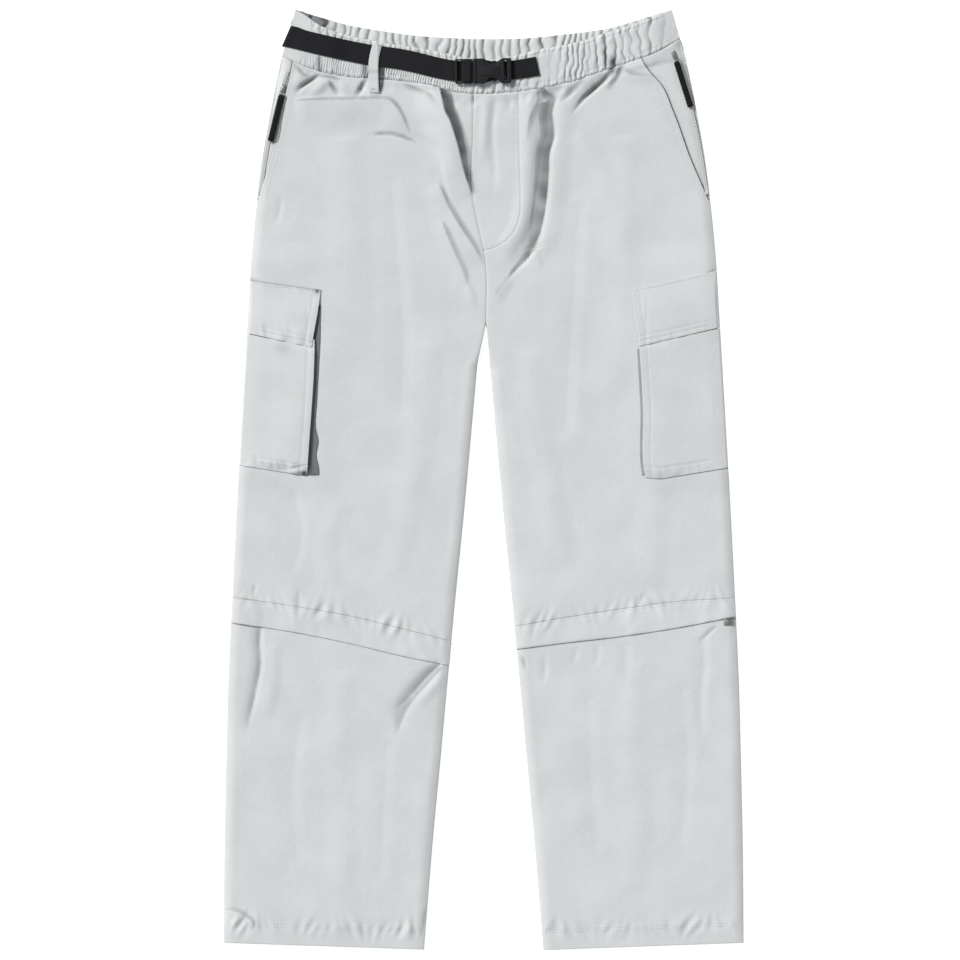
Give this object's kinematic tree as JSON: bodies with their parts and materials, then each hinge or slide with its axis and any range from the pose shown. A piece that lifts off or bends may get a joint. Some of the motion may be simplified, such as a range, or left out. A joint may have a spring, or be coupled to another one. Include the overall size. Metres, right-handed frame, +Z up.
{
  "type": "convertible zip-off trousers",
  "caption": "Wide cargo trousers laid flat, with gathered waistband, buckled webbing belt, thigh pockets and zip-off lower legs.",
  "frame": {"origin": "on the surface that the trousers lie on, under the middle of their outline", "axes": "+Y from the hems towards the waist, +X towards the wearer's left, +Z up, out of the front of the trousers"},
  "size_m": [0.5614, 1.015, 0.0163],
  "materials": {
    "cloth": "matt plain-weave nylon",
    "gusset_cloth": "matt plain-weave nylon",
    "zip_coil": "woven tape with a nylon coil",
    "slider_metal": "plated, satin",
    "webbing": "flat woven webbing",
    "buckle_plastic": "moulded acetal",
    "pull_rubber": "moulded, matt",
    "pull_cord": "braided cord"
  },
  "bodies": {
    "garment": {"front_right": "cloth", "front_left": "cloth", "back_right": "cloth", "back_left": "cloth", "lower_front_right": "cloth", "lower_front_left": "cloth", "lower_back_right": "cloth", "lower_back_left": "cloth", "knee_flap_right": "cloth", "knee_flap_left": "cloth", "hip_panel_right": "cloth", "hip_panel_left": "cloth", "waistband_front_right": "cloth", "waistband_front_left": "cloth", "cargo_pocket_right": "cloth", "cargo_pocket_left": "cloth", "cargo_flap_right": "cloth", "cargo_flap_left": "cloth", "waistband_back": "cloth", "fly": "cloth", "belt_loop": "cloth", "cargo_gusset_right": "gusset_cloth", "cargo_gusset_left": "gusset_cloth", "knee_zip_right": "zip_coil", "knee_zip_left": "zip_coil", "hip_zip_right": "zip_coil", "hip_zip_left": "zip_coil", "knee_slider_right": "slider_metal", "knee_slider_left": "slider_metal", "hip_slider_right": "slider_metal", "hip_slider_left": "slider_metal", "belt": "webbing", "belt_tab": "webbing", "buckle_prongs": "buckle_plastic", "buckle_socket": "buckle_plastic"},
    "right_pull": {"pull_right": "pull_rubber", "pull_cord_right": "pull_cord"},
    "left_pull": {"pull_left": "pull_rubber", "pull_cord_left": "pull_cord"}
  },
  "joints": [
    {"name": "right_pull_hinge", "type": "hinge", "parent": "garment", "child": "right_pull", "pos_m": [-0.21765, 0.4155, 0.00795], "axis": [-0.9724, 0.2335, 0], "range_deg": [0, 110]},
    {"name": "left_pull_hinge", "type": "hinge", "parent": "garment", "child": "left_pull", "pos_m": [0.20776, 0.4515, 0.0083], "axis": [-0.9536, -0.3012, 0], "range_deg": [0, 110]}
  ]
}
